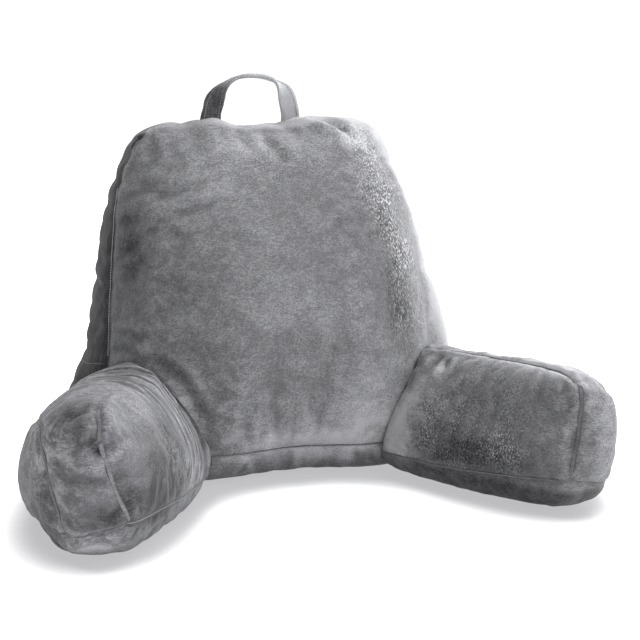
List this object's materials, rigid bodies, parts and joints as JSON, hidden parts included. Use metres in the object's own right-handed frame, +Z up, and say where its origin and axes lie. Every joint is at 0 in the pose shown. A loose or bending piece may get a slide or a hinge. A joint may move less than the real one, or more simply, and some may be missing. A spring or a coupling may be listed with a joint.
{
  "type": "backrest pillow",
  "caption": "Plush backrest pillow with a crowned back, splayed padded arms and a carrying loop on top, standing on its flat base.",
  "frame": {"origin": "on the floor under the middle of the back cushion, on its flat base", "axes": "+Z up, +X to the right as seen from the front, the arms reaching towards -Y"},
  "size_m": [0.6892, 0.5369, 0.524],
  "materials": {
    "plush": "short soft pile"
  },
  "bodies": {
    "root": {"back_cushion": "plush", "arm_left": "plush", "arm_right": "plush", "carry_loop": "plush"}
  },
  "joints": []
}
